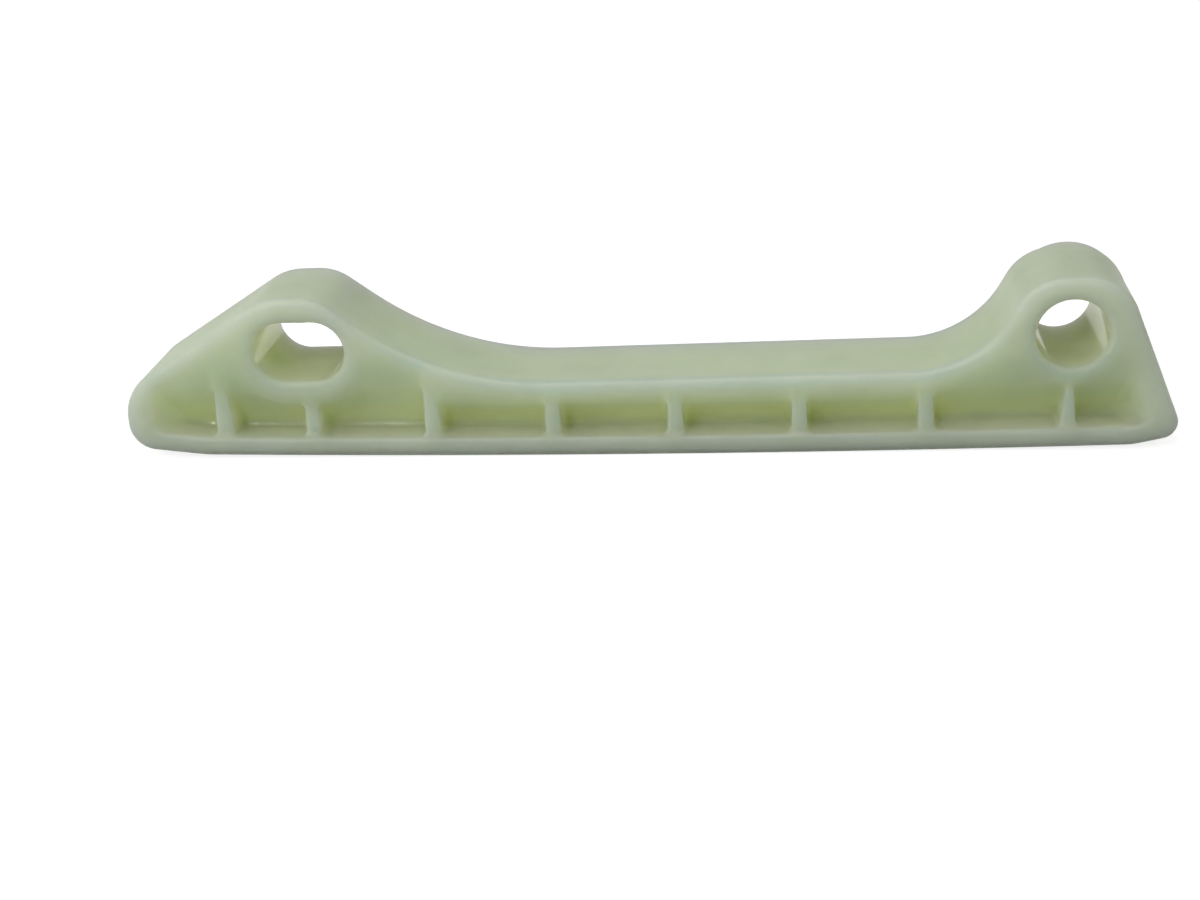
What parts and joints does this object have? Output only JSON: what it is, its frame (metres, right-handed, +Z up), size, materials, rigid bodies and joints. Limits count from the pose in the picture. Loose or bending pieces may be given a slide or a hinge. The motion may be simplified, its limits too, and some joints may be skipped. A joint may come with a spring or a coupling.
{
  "type": "timing chain guide",
  "caption": "Moulded nylon chain guide rail with a bowed running face, ribbed side pockets, a round locating bore at one end and a slotted hole at the other.",
  "frame": {"origin": "on the round bore's axis, at the middle of the rail's width", "axes": "+X from the slotted end towards the bore end, along the rail; +Y along the bore axis towards the side with the hub; +Z up, away from the running face"},
  "size_m": [0.1218, 0.0155, 0.0204],
  "materials": {
    "natural_nylon": "natural nylon, moulded, slightly translucent"
  },
  "bodies": {
    "root": {"guide_rail": "natural_nylon"}
  },
  "joints": []
}
